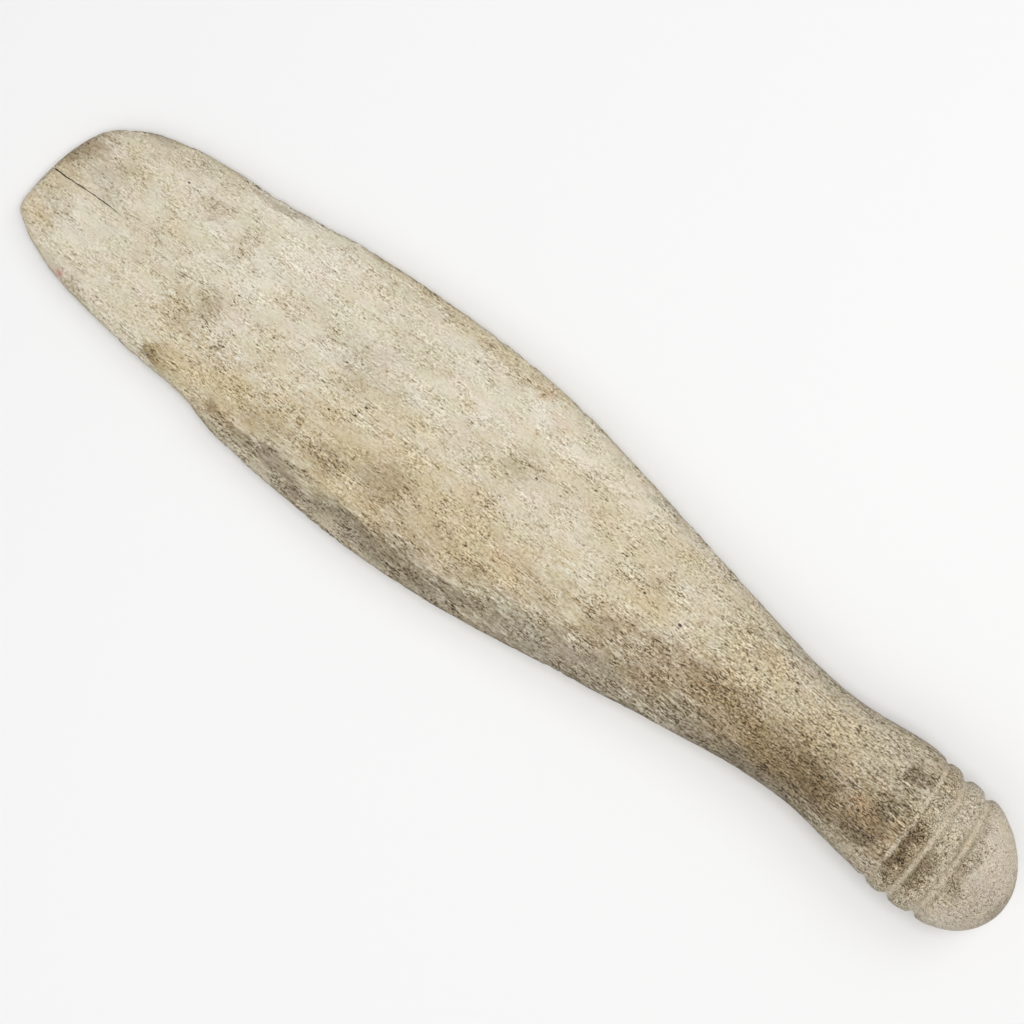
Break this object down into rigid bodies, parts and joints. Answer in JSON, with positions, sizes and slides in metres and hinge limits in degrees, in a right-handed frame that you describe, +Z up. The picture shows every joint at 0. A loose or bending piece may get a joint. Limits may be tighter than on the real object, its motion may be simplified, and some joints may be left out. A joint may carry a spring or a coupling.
{
  "type": "carved bone hand club",
  "caption": "Short flat hand club carved from one piece of bone: long lens-shaped blade, narrow oval neck and a domed butt ringed with carved grooves.",
  "frame": {"origin": "middle of the overall box, on the plane that the club lies on", "axes": "+X from the blade's tip to the butt, +Y across the blade, +Z up out of the upper face of the club as it lies"},
  "size_m": [0.38, 0.0816, 0.0276],
  "materials": {
    "bone": "matte"
  },
  "bodies": {
    "root": {"bone_body": "bone"}
  },
  "joints": []
}
